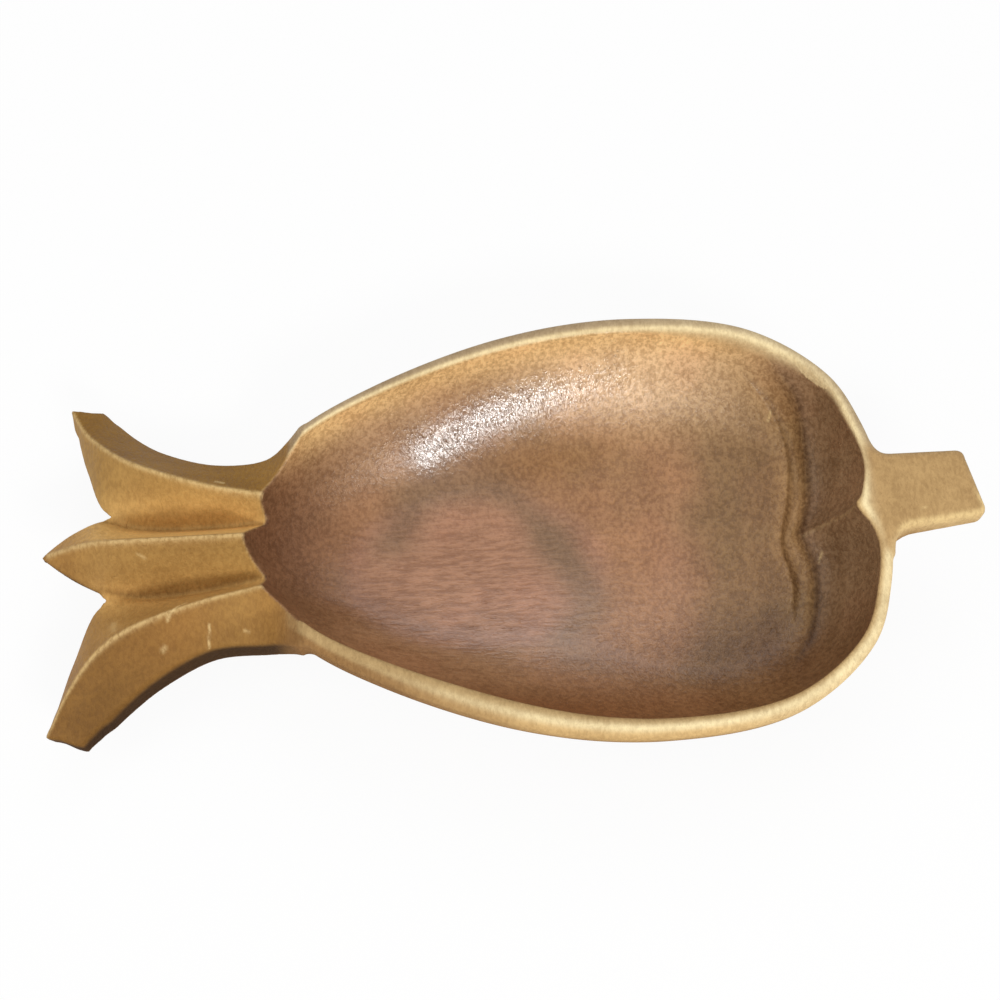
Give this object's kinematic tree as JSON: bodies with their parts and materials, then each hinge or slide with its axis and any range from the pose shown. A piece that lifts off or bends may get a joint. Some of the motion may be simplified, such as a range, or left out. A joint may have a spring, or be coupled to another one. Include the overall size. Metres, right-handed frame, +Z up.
{
  "type": "serving bowl",
  "caption": "Pineapple-shaped serving bowl carved from solid golden-brown wood, with a pleated leaf crown as one handle and a flat stem as the other.",
  "frame": {"origin": "on the table, under the middle of the bounding box", "axes": "+X from the leaf crown to the stem, +Y across the bowl, +Z up, out of the cavity"},
  "size_m": [0.3559, 0.1706, 0.0514],
  "materials": {
    "oiled_wood": "satin"
  },
  "bodies": {
    "root": {"carved_bowl": "oiled_wood"}
  },
  "joints": []
}
